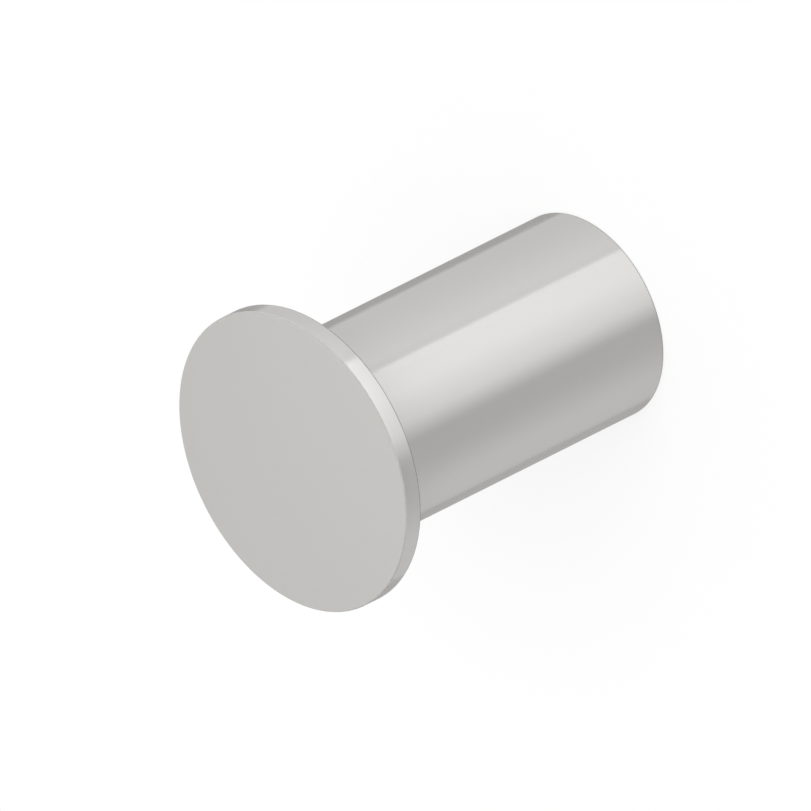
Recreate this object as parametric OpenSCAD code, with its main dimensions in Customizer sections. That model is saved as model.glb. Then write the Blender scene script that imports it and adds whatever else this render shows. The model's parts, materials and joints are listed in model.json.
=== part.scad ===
// Semi-tubular rivet: one cold-headed piece of steel, with a flat round head and a blind bore in its tail.
// It stands on its tail. The axis is Z, the end of the tail is at z = 0 and the face of the head is on top.

/* [Head] */
// Diameter of the head
head_d = 7.75; // [6.4:0.05:12]
// Thickness of the head
head_t = 0.5; // [0.3:0.05:1.5]
// Radius of the fillet between the underside of the head and the shank
fillet_r = 0.8; // [0.1:0.05:1.5]
// Least width of the flat ring that the head bears on, outside the fillet
bearing_ring_w = 0.2; // [0.1:0.05:0.4]

/* [Shank] */
// Length over all, from the end of the tail to the face of the head
overall_length = 10; // [8:0.5:20]
// Diameter of the shank
shank_d = 5.3; // [4.4:0.05:6.5]

/* [Bore] */
// Thickness of the shank's wall around the bore
wall_t = 0.9; // [0.6:0.05:1.5]
// Depth of the bore's straight wall, from the end of the tail
bore_depth = 5.8; // [2:0.1:7]
// Angle across the bore's conical bottom
bottom_angle = 120; // [90:5:160]
// Depth of the chamfer at the mouth of the bore
chamfer_depth = 0.5; // [0.1:0.05:1]
// Width of the flat ring that the chamfer leaves at the end of the tail
end_ring_w = 0.4; // [0.1:0.05:0.5]

/* [Edges] */
// Radius of the head's two outer edges and of the tail's outer edge
edge_r = 0.03; // [0.02:0.01:0.1]

/* [Hidden] */
$fn = 128;

head_r = head_d / 2;
shank_r = shank_d / 2;
bore_r = shank_r - wall_t;
mouth_r = shank_r - edge_r - end_ring_w;
underside_z = overall_length - head_t;
bore_tip_z = bore_depth + bore_r / tan(bottom_angle / 2);
// On a narrow head the fillet is smaller, so that the flat ring stays.
blend_r = min(fillet_r, head_r - edge_r - bearing_ring_w - shank_r);
// How far a cut runs on past the surface that it opens.
overrun = 1;

// Half section of a round bar or disc that starts at z = 0, with both of its outer edges rounded.
module bar_section(radius, height) {
    square([radius - edge_r, height]);
    translate([0, edge_r])
        square([radius, height - 2 * edge_r]);
    for (z = [edge_r, height - edge_r])
        translate([radius - edge_r, z])
            circle(edge_r);
}

module head_section() {
    translate([0, underside_z])
        bar_section(head_r, head_t);
}

// The shank runs up to the middle of the head, where its rounded upper edge is buried.
module shank_section() {
    bar_section(shank_r, overall_length - head_t / 2);
}

module fillet_section() {
    translate([shank_r, underside_z - blend_r])
        difference() {
            square(blend_r);
            translate([blend_r, 0])
                circle(blend_r);
        }
}

// A straight hole from below the tail, closed by a cone.
module bore_section() {
    polygon([
        [0, -overrun],
        [bore_r, -overrun],
        [bore_r, bore_depth],
        [0, bore_tip_z]
    ]);
}

// The chamfer at the bore's mouth, carried on at the same slope below the tail.
module chamfer_section() {
    flare = (mouth_r - bore_r) / chamfer_depth;
    polygon([
        [0, -overrun],
        [mouth_r + flare * overrun, -overrun],
        [bore_r, chamfer_depth],
        [0, chamfer_depth]
    ]);
}

module rivet() {
    color("silver")
        rotate_extrude()
            difference() {
                union() {
                    head_section();
                    shank_section();
                    fillet_section();
                }
                bore_section();
                chamfer_section();
            }
}

rivet();
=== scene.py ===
import json
import math

import bmesh
import bpy
from mathutils import Matrix, Vector


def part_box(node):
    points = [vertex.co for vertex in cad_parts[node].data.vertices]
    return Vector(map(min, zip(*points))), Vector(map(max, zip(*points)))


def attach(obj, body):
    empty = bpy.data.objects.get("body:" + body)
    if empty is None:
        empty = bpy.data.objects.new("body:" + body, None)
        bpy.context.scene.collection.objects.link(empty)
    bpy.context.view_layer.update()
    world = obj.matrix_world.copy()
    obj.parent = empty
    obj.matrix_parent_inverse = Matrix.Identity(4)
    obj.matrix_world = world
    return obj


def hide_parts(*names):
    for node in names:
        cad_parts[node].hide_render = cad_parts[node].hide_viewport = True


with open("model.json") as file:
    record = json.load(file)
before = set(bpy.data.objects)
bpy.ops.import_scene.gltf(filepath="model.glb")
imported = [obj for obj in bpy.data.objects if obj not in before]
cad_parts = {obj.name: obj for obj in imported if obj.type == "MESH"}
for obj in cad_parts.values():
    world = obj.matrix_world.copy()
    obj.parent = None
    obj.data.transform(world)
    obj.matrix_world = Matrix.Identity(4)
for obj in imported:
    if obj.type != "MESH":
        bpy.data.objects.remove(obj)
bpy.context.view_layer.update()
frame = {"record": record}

MM = 0.001

# Sizes of the rivet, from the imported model, which stands on the floor round the Z axis, and its mounts.
mounts = {mount["name"]: mount for mount in frame["record"]["mounts"]}
high_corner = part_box("rivet")[1]
LENGTH = high_corner.z
HEAD_R = high_corner.x
SHANK_R = mounts["shank"]["dims"]["r_mm"] * MM
BORE_R = mounts["tail_bore"]["dims"]["r_mm"] * MM
BORE_WALL = mounts["tail_bore"]["dims"]["length_mm"] * MM
UNDERSIDE_Z = mounts["bearing_face"]["pos_m"][2]
# Sizes that no mount states, the same as in the CAD source.
EDGE_R = 0.03 * MM
FILLET_R = 0.8 * MM
END_RING_W = 0.4 * MM
CHAMFER_DEPTH = 0.5 * MM
BOTTOM_ANGLE = math.radians(120)

# How finely the turned form is divided.
TURN_STEPS = 288
EDGE_STEPS = 6
FILLET_STEPS = 20
SHARP_ANGLE = math.radians(25)

# The camera looks down on the standing rivet in a parallel view, and is rolled so that the shank
# runs up to the right of the frame.
CAMERA_ELEVATION = math.radians(37.76)
CAMERA_ROLL = math.radians(-116.57)
CAMERA_DISTANCE = 5 * LENGTH
CAMERA_NEAR = 0.1 * LENGTH
CAMERA_FAR = 100 * LENGTH
AIM_HEIGHT = 0.615 * LENGTH
FRAME_WIDTH = 1.954 * LENGTH

# The plating's colour where it is polished and where pressed by a tool, then painted shade: dark for the
# edges' shadow line.
POLISHED = (0.64, 0.63, 0.616)
PRESSED = (0.60, 0.59, 0.574)
PAINTED_EDGE_SHADE = (0.18, 0.177, 0.174)
# How much of the usual whitening the metal has where it is seen at a slant.
SLANT_TINT = (0.5, 0.5, 0.5, 1)
# Roughness. Polished metal spreads light mostly along the shank, and the rest spreads it evenly.
SHANK_ROUGHNESS = 0.4
RIM_ROUGHNESS = 0.37
SATIN_ROUGHNESS = 0.5
DULL_ROUGHNESS = 0.9
# A quarter turn, which turns the spread of light from round the shank to along it.
ALONG_SHANK = 0.25
# The sheen mixed into polished metal, for light bands crisper than the main shader gives. At a roughness
# below about 0.275 the denoiser takes it for a mirror and leaves specks.
SHEEN_SHARE = 0.75
SHEEN_ROUGHNESS = 0.28
SHEEN_ANISOTROPY = 0.85
# The share by which fine marks lighten and darken a colour, and what they add to or take from roughness.
COLOUR_SPREAD = 0.01
ROUGHNESS_SPREAD = 0.02
# Fine marks: how many to a metre, and how each axis is stretched, so that they run in rings or lines.
EVEN_MARKS = {"scale": 2500, "stretch": (1, 1, 1)}
RING_MARKS = {"scale": 20000, "stretch": (0.002, 0.002, 1)}
LONG_MARKS = {"scale": 9000, "stretch": (1, 1, 0.02)}
GRAIN = {"scale": 30000, "stretch": (1, 1, 1)}
# How deep the marks are: those that a tool pressed in, those left by rubbing and polishing, and the grain.
PRESSED_DEPTH = 0.002 * MM
RUBBED_DEPTH = 0.0005 * MM
GRAIN_DEPTH = 0.0003 * MM
# How many finer layers each noise has.
MARK_DETAIL = 4
# Most of a noise's values lie between these.
NOISE_LOW, NOISE_HIGH = 0.35, 0.65

# The studio. The glow is the share of plain white that the floor shows where it is seen or mirrored.
WHITE = (1, 1, 1, 1)
FLOOR_SIZE = 1.0
FLOOR_COLOUR = (0.92, 0.92, 0.92, 1)
FLOOR_GLOW = 0.75
WORLD_LIGHT = 0.85
LAMP_POWER = 1.0
LAMP_SPREAD = math.radians(40)
LAMP_TILT = (math.radians(30), math.radians(10), 0)
REFLECTOR_DISTANCE = 10 * LENGTH
REFLECTOR_DEGREES_A_STEP = 3
REFLECTOR_ROWS = 12
# The reflector's stops: degrees round the shank from the camera, where the shank mirrors that part of the
# reflector, then brightness, and height in degrees above the floor.
REFLECTOR_STOPS = [
    (-90, 0.15, 33),
    (-68, 0.15, 33),
    (-68, 0.8, 42),
    (-60, 0.85, 42),
    (-48, 0.85, 42),
    (-30, 0.4, 60),
    (-18, 0.35, 80),
    (-8, 1.65, 80),
    (8, 2.35, 80),
    (18, 2.35, 80),
    (23, 2.55, 80),
    (23, 1.3, 42),
    (28, 1.65, 42),
    (46, 1.25, 42),
    (60, 1.1, 42),
    (68, 1.15, 42),
    (68, 0.1, 37),
    (90, 0.0, 37),
]


def arc(centre_r, centre_z, radius, start, end, steps):
    """Profile points (r, z) round an edge, from an angle in degrees, which is left out, to another."""
    points = []
    for i in range(1, steps + 1):
        angle = math.radians(start + (end - start) * i / steps)
        points.append((centre_r + radius * math.cos(angle), centre_z + radius * math.sin(angle)))
    return points


def rivet_profile():
    """Half section of the rivet, from the middle of the head's face round the outside to the bore's tip.

    It comes in stretches: a finish, and the points (r, z) that the stretch runs on to.
    """
    flat_r = HEAD_R - EDGE_R
    round_z = UNDERSIDE_Z + EDGE_R
    fillet_end_r = SHANK_R + FILLET_R
    tail_flat_r = SHANK_R - EDGE_R
    bore_end_z = CHAMFER_DEPTH + BORE_WALL
    bore_tip_z = bore_end_z + BORE_R / math.tan(BOTTOM_ANGLE / 2)
    front_edge = arc(flat_r, LENGTH - EDGE_R, EDGE_R, 90, 0, EDGE_STEPS)
    back_edge = arc(flat_r, round_z, EDGE_R, 0, -90, EDGE_STEPS)
    fillet = arc(fillet_end_r, UNDERSIDE_Z - FILLET_R, FILLET_R, 90, 180, FILLET_STEPS)
    tail_edge = arc(tail_flat_r, EDGE_R, EDGE_R, 0, -90, EDGE_STEPS)
    return [
        ("pressed", [(0, LENGTH), (flat_r, LENGTH)]),
        ("tumbled", front_edge),
        ("rim", [(HEAD_R, round_z)]),
        # Painted shade: the back edge and the tail's edge are coloured dark for the thin shadow line along
        # them.
        ("rubbed", back_edge),
        ("pressed", [(fillet_end_r, UNDERSIDE_Z)]),
        ("polished", [*fillet, (SHANK_R, EDGE_R)]),
        ("rubbed", tail_edge),
        ("pressed", [(tail_flat_r - END_RING_W, 0)]),
        ("punched", [(BORE_R, CHAMFER_DEPTH), (BORE_R, bore_end_z), (0, bore_tip_z)]),
    ]


def add_object(name, bm):
    """Makes a scene object of a finished bmesh."""
    mesh = bpy.data.meshes.new(name)
    bm.to_mesh(mesh)
    bm.free()
    obj = bpy.data.objects.new(name, mesh)
    bpy.context.scene.collection.objects.link(obj)
    return obj


def add_lathe_map(bm, rings, profile):
    """The UV map for baking the finishes: u runs round the axis, and v runs along the profile.

    Each face's corners get the u nearest its middle's, so that none is stretched across the seam.
    """
    lengths = [0]
    for (r, z), (next_r, next_z) in zip(profile, profile[1:]):
        lengths.append(lengths[-1] + math.hypot(next_r - r, next_z - z))
    along = {vert: length / lengths[-1] for ring, length in zip(rings, lengths) for vert in ring}
    layer = bm.loops.layers.uv.new("OFBake")
    for face in bm.faces:
        middle = face.calc_center_median()
        turn = math.atan2(middle.y, middle.x) / (2 * math.pi) % 1
        for loop in face.loops:
            x, y, z = loop.vert.co
            ahead = (math.atan2(y, x) / (2 * math.pi) - turn + 0.5) % 1 - 0.5 if x or y else 0
            loop[layer].uv = (turn + ahead, along[loop.vert])


def turned(name, stretches, finishes):
    """A closed body of revolution about Z, from stretches of profile that start and end on the axis.

    finishes holds the material of each finish that the stretches name.
    """
    bm = bmesh.new()
    slots = [list(finishes).index(finish) for finish, points in stretches for point in points]
    profile = [point for finish, points in stretches for point in points]
    rings = []
    for r, z in profile:
        turns = [2 * math.pi * k / TURN_STEPS for k in range(TURN_STEPS if r else 1)]
        rings.append([bm.verts.new((r * math.cos(t), r * math.sin(t), z)) for t in turns])
    for ring, following, slot in zip(rings, rings[1:], slots[1:]):
        for k in range(TURN_STEPS):
            here = (ring[k % len(ring)], following[k % len(following)])
            after = (following[(k + 1) % len(following)], ring[(k + 1) % len(ring)])
            face = bm.faces.new(dict.fromkeys(here + after))
            face.smooth = True
            face.material_index = slot
    bmesh.ops.recalc_face_normals(bm, faces=bm.faces)
    add_lathe_map(bm, rings, profile)
    obj = add_object(name, bm)
    for material in finishes.values():
        obj.data.materials.append(material)
    obj.data.set_sharp_from_angle(angle=SHARP_ANGLE)
    obj.modifiers.new("flat_faces_stay_flat", "WEIGHTED_NORMAL").keep_sharp = True
    return obj


def noise(tree, scale, stretch):
    """Smooth noise from 0 to 1 over the object, with scale cells to a metre, stretched along each axis."""
    place = tree.nodes.new("ShaderNodeTexCoord")
    mapping = tree.nodes.new("ShaderNodeMapping")
    mapping.inputs["Scale"].default_value = stretch
    tree.links.new(place.outputs["Object"], mapping.inputs["Vector"])
    texture = tree.nodes.new("ShaderNodeTexNoise")
    texture.inputs["Scale"].default_value = scale
    texture.inputs["Detail"].default_value = MARK_DETAIL
    tree.links.new(mapping.outputs["Vector"], texture.inputs["Vector"])
    return texture.outputs["Fac"]


def mapped(tree, value, low, high, low_out, high_out):
    """value, from low to high, spread over low_out to high_out."""
    node = tree.nodes.new("ShaderNodeMapRange")
    for name, number in (("From Min", low), ("From Max", high), ("To Min", low_out), ("To Max", high_out)):
        node.inputs[name].default_value = number
    tree.links.new(value, node.inputs["Value"])
    return node.outputs["Result"]


def mixed_colour(tree, factor, first, second):
    """A mix of two colours. factor, a node's output, is the share of the second."""
    node = tree.nodes.new("ShaderNodeMix")
    node.data_type = "RGBA"
    node.inputs["A"].default_value = first
    node.inputs["B"].default_value = second
    tree.links.new(factor, node.inputs["Factor"])
    return node.outputs["Result"]


def bump(tree, height, distance, under=None):
    """Bump from a height of 0 to 1, where 1 is distance in metres. under is a bump that it adds to."""
    node = tree.nodes.new("ShaderNodeBump")
    node.inputs["Distance"].default_value = distance
    tree.links.new(height, node.inputs["Height"])
    if under:
        tree.links.new(under, node.inputs["Normal"])
    return node.outputs["Normal"]


def mixed_shader(tree, factor, first, second):
    """A mix of two shader nodes. factor is the share of the second: a number, or a node's output."""
    node = tree.nodes.new("ShaderNodeMixShader")
    if isinstance(factor, bpy.types.NodeSocket):
        tree.links.new(factor, node.inputs["Fac"])
    else:
        node.inputs["Fac"].default_value = factor
    tree.links.new(first.outputs[0], node.inputs[1])
    tree.links.new(second.outputs[0], node.inputs[2])
    return node.outputs["Shader"]


def plated_steel(name, colour, roughness, marks, depth):
    """Grey plating whose colour, roughness and height vary with fine marks, up to a depth in metres."""
    material = bpy.data.materials.new(name)
    material.use_nodes = True
    tree = material.node_tree
    metal = tree.nodes["Principled BSDF"]
    metal.inputs["Metallic"].default_value = 1
    metal.inputs["Specular Tint"].default_value = SLANT_TINT
    pattern = noise(tree, **marks)
    shares = (1 - COLOUR_SPREAD, 1 + COLOUR_SPREAD)
    dark, light = ([channel * share for channel in colour] + [1] for share in shares)
    mottle = mapped(tree, pattern, NOISE_LOW, NOISE_HIGH, 0, 1)
    tree.links.new(mixed_colour(tree, mottle, dark, light), metal.inputs["Base Color"])
    smooth, rough = (roughness - ROUGHNESS_SPREAD, roughness + ROUGHNESS_SPREAD)
    wear = mapped(tree, pattern, NOISE_LOW, NOISE_HIGH, smooth, rough)
    tree.links.new(wear, metal.inputs["Roughness"])
    marked = bump(tree, pattern, depth)
    tree.links.new(bump(tree, noise(tree, **GRAIN), GRAIN_DEPTH, under=marked), metal.inputs["Normal"])
    return material


def polished_finish(name, roughness):
    """Sides polished round and round, with faint rings, so that light spreads along the shank."""
    material = plated_steel(name, POLISHED, roughness, RING_MARKS, RUBBED_DEPTH)
    tree = material.node_tree
    metal = tree.nodes["Principled BSDF"]
    metal.inputs["Anisotropic"].default_value = 1
    metal.inputs["Anisotropic Rotation"].default_value = ALONG_SHANK
    sheen = tree.nodes.new("ShaderNodeBsdfAnisotropic")
    sheen.inputs["Roughness"].default_value = SHEEN_ROUGHNESS
    sheen.inputs["Anisotropy"].default_value = SHEEN_ANISOTROPY
    tangent = tree.nodes.new("ShaderNodeTangent")
    tangent.direction_type = "RADIAL"
    tangent.axis = "Z"
    for shader in (metal, sheen):
        tree.links.new(tangent.outputs["Tangent"], shader.inputs["Tangent"])
    for shared, own in (("Base Color", "Color"), ("Normal", "Normal")):
        tree.links.new(metal.inputs[shared].links[0].from_socket, sheen.inputs[own])
    surface = tree.nodes["Material Output"].inputs["Surface"]
    tree.links.new(mixed_shader(tree, SHEEN_SHARE, metal, sheen), surface)
    return material


def pressed_finish():
    """The head's face and underside and the end of the tail, pressed flat by the tools: an even satin."""
    return plated_steel("plated_steel_pressed", PRESSED, SATIN_ROUGHNESS, EVEN_MARKS, PRESSED_DEPTH)


def tumbled_finish():
    """The head's front edge, dulled evenly by tumbling, so that it shows no line between face and rim."""
    return plated_steel("plated_steel_tumbled", POLISHED, DULL_ROUGHNESS, EVEN_MARKS, RUBBED_DEPTH)


def painted_shade_edge_finish():
    """The head's back edge and the tail's edge, painted dark as shade, standing in for the thin shadow
    line along them.
    """
    return plated_steel("plated_steel_rubbed", PAINTED_EDGE_SHADE, SATIN_ROUGHNESS, EVEN_MARKS, RUBBED_DEPTH)


def punched_finish():
    """The bore and its mouth, with faint lines where the punch ran in and out."""
    return plated_steel("plated_steel_punched", PRESSED, SATIN_ROUGHNESS, LONG_MARKS, PRESSED_DEPTH)


def make_rivet():
    """The whole rivet, turned to the same sizes as the CAD solid.

    It stands for the CAD mesh, which has too few sides for a smooth reflection and one finish all over.
    """
    finishes = {
        "pressed": pressed_finish(),
        "tumbled": tumbled_finish(),
        "rim": polished_finish("plated_steel_rim", RIM_ROUGHNESS),
        # Painted shade on the back and tail edges: a dark colour standing in for their shadow line.
        "rubbed": painted_shade_edge_finish(),
        "polished": polished_finish("plated_steel_polished", SHANK_ROUGHNESS),
        "punched": punched_finish(),
    }
    rivet = turned("turned_rivet", rivet_profile(), finishes)
    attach(rivet, "root")
    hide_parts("rivet")


def seen_share(tree, share):
    """share for rays that show the background, seen, mirrored or through glass, and 0 for the rest."""
    path = tree.nodes.new("ShaderNodeLightPath")
    total = path.outputs["Is Camera Ray"]
    for other in ("Is Glossy Ray", "Is Transmission Ray"):
        either = tree.nodes.new("ShaderNodeMath")
        either.operation = "MAXIMUM"
        tree.links.new(total, either.inputs[0])
        tree.links.new(path.outputs[other], either.inputs[1])
        total = either.outputs["Value"]
    return mapped(tree, total, 0, 1, 0, share)


def empty_tree(owner, output_kind):
    """Clears an owner's node tree down to a new output node, and returns both."""
    owner.use_nodes = True
    owner.node_tree.nodes.clear()
    return owner.node_tree, owner.node_tree.nodes.new(output_kind)


def make_floor():
    """A pale floor that keeps the rivet's shadow, and is white beyond it."""
    bm = bmesh.new()
    bmesh.ops.create_grid(bm, x_segments=1, y_segments=1, size=FLOOR_SIZE)
    floor = add_object("floor", bm)
    material = bpy.data.materials.new("floor_white")
    tree, output = empty_tree(material, "ShaderNodeOutputMaterial")
    matt = tree.nodes.new("ShaderNodeBsdfDiffuse")
    matt.inputs["Color"].default_value = FLOOR_COLOUR
    white = tree.nodes.new("ShaderNodeEmission")
    surface = mixed_shader(tree, seen_share(tree, FLOOR_GLOW), matt, white)
    tree.links.new(surface, output.inputs["Surface"])
    floor.data.materials.append(material)


def make_world():
    """Even light from all round, and white wherever it is seen or mirrored."""
    world = bpy.data.worlds.new("studio")
    tree, output = empty_tree(world, "ShaderNodeOutputWorld")
    light = tree.nodes.new("ShaderNodeBackground")
    light.inputs["Color"].default_value = WHITE
    light.inputs["Strength"].default_value = WORLD_LIGHT
    white = tree.nodes.new("ShaderNodeBackground")
    white.inputs["Color"].default_value = WHITE
    surface = mixed_shader(tree, seen_share(tree, 1), light, white)
    tree.links.new(surface, output.inputs["Surface"])
    bpy.context.scene.world = world


def make_lamp():
    """One broad soft light, from high in front of the rivet."""
    data = bpy.data.lights.new("soft_lamp", "SUN")
    data.energy = LAMP_POWER
    data.angle = LAMP_SPREAD
    lamp = bpy.data.objects.new("soft_lamp", data)
    lamp.rotation_euler = LAMP_TILT
    lamp.visible_glossy = False
    bpy.context.scene.collection.objects.link(lamp)


def mirrored_direction(round_shank, elevation):
    """The direction, at an elevation, that the camera sees mirrored at an angle round the shank."""
    side = math.radians(round_shank)
    across = math.cos(CAMERA_ELEVATION) * math.sin(side) / math.cos(elevation)
    azimuth = side + math.asin(max(-1, min(1, across)))
    level = math.cos(elevation)
    return Vector((math.sin(azimuth) * level, -math.cos(azimuth) * level, math.sin(elevation)))


def reflector_column(bm, angle, tone, top):
    """A column of the screen's points, up to an elevation of top degrees, all of one tone."""
    tones = bm.verts.layers.float["tone"]
    column = []
    for j in range(REFLECTOR_ROWS + 1):
        elevation = math.radians(top * j / REFLECTOR_ROWS)
        point = bm.verts.new(mirrored_direction(angle, elevation) * REFLECTOR_DISTANCE)
        point[tones] = tone
        column.append(point)
    return column


def make_reflector():
    """A curved screen round the front of the rivet, light and dark by turns, mirrored in bands.

    Its tone and height run evenly from stop to stop. Two stops at one angle leave a hard edge there.
    """
    bm = bmesh.new()
    bm.verts.layers.float.new("tone")
    for start, end in zip(REFLECTOR_STOPS, REFLECTOR_STOPS[1:]):
        steps = round((end[0] - start[0]) / REFLECTOR_DEGREES_A_STEP)
        shares = [i / steps for i in range(steps + 1)] if steps else []
        stops = [[a + (b - a) * share for a, b in zip(start, end)] for share in shares]
        columns = [reflector_column(bm, *stop) for stop in stops]
        for left, right in zip(columns, columns[1:]):
            for j in range(REFLECTOR_ROWS):
                bm.faces.new((left[j], right[j], right[j + 1], left[j + 1]))
    reflector = add_object("reflector", bm)
    material = bpy.data.materials.new("reflector")
    tree, output = empty_tree(material, "ShaderNodeOutputMaterial")
    glow = tree.nodes.new("ShaderNodeEmission")
    tone = tree.nodes.new("ShaderNodeAttribute")
    tone.attribute_name = "tone"
    tree.links.new(tone.outputs["Fac"], glow.inputs["Strength"])
    tree.links.new(glow.outputs["Emission"], output.inputs["Surface"])
    reflector.data.materials.append(material)
    reflector.visible_camera = False
    reflector.visible_diffuse = False
    reflector.visible_shadow = False


def make_camera():
    """A camera without perspective, rolled as the picture is."""
    data = bpy.data.cameras.new("camera")
    data.type = "ORTHO"
    data.ortho_scale = FRAME_WIDTH
    data.clip_start = CAMERA_NEAR
    data.clip_end = CAMERA_FAR
    camera = bpy.data.objects.new("camera", data)
    back = Vector((0, -math.cos(CAMERA_ELEVATION), math.sin(CAMERA_ELEVATION)))
    upright = (-back).to_track_quat("-Z", "Y")
    camera.rotation_mode = "QUATERNION"
    camera.rotation_quaternion = upright @ Matrix.Rotation(CAMERA_ROLL, 3, "Z").to_quaternion()
    camera.location = Vector((0, 0, AIM_HEIGHT)) + back * CAMERA_DISTANCE
    bpy.context.scene.collection.objects.link(camera)
    bpy.context.scene.camera = camera


bpy.context.scene.view_settings.view_transform = "Standard"
make_camera()
make_rivet()
make_floor()
make_world()
make_lamp()
make_reflector()
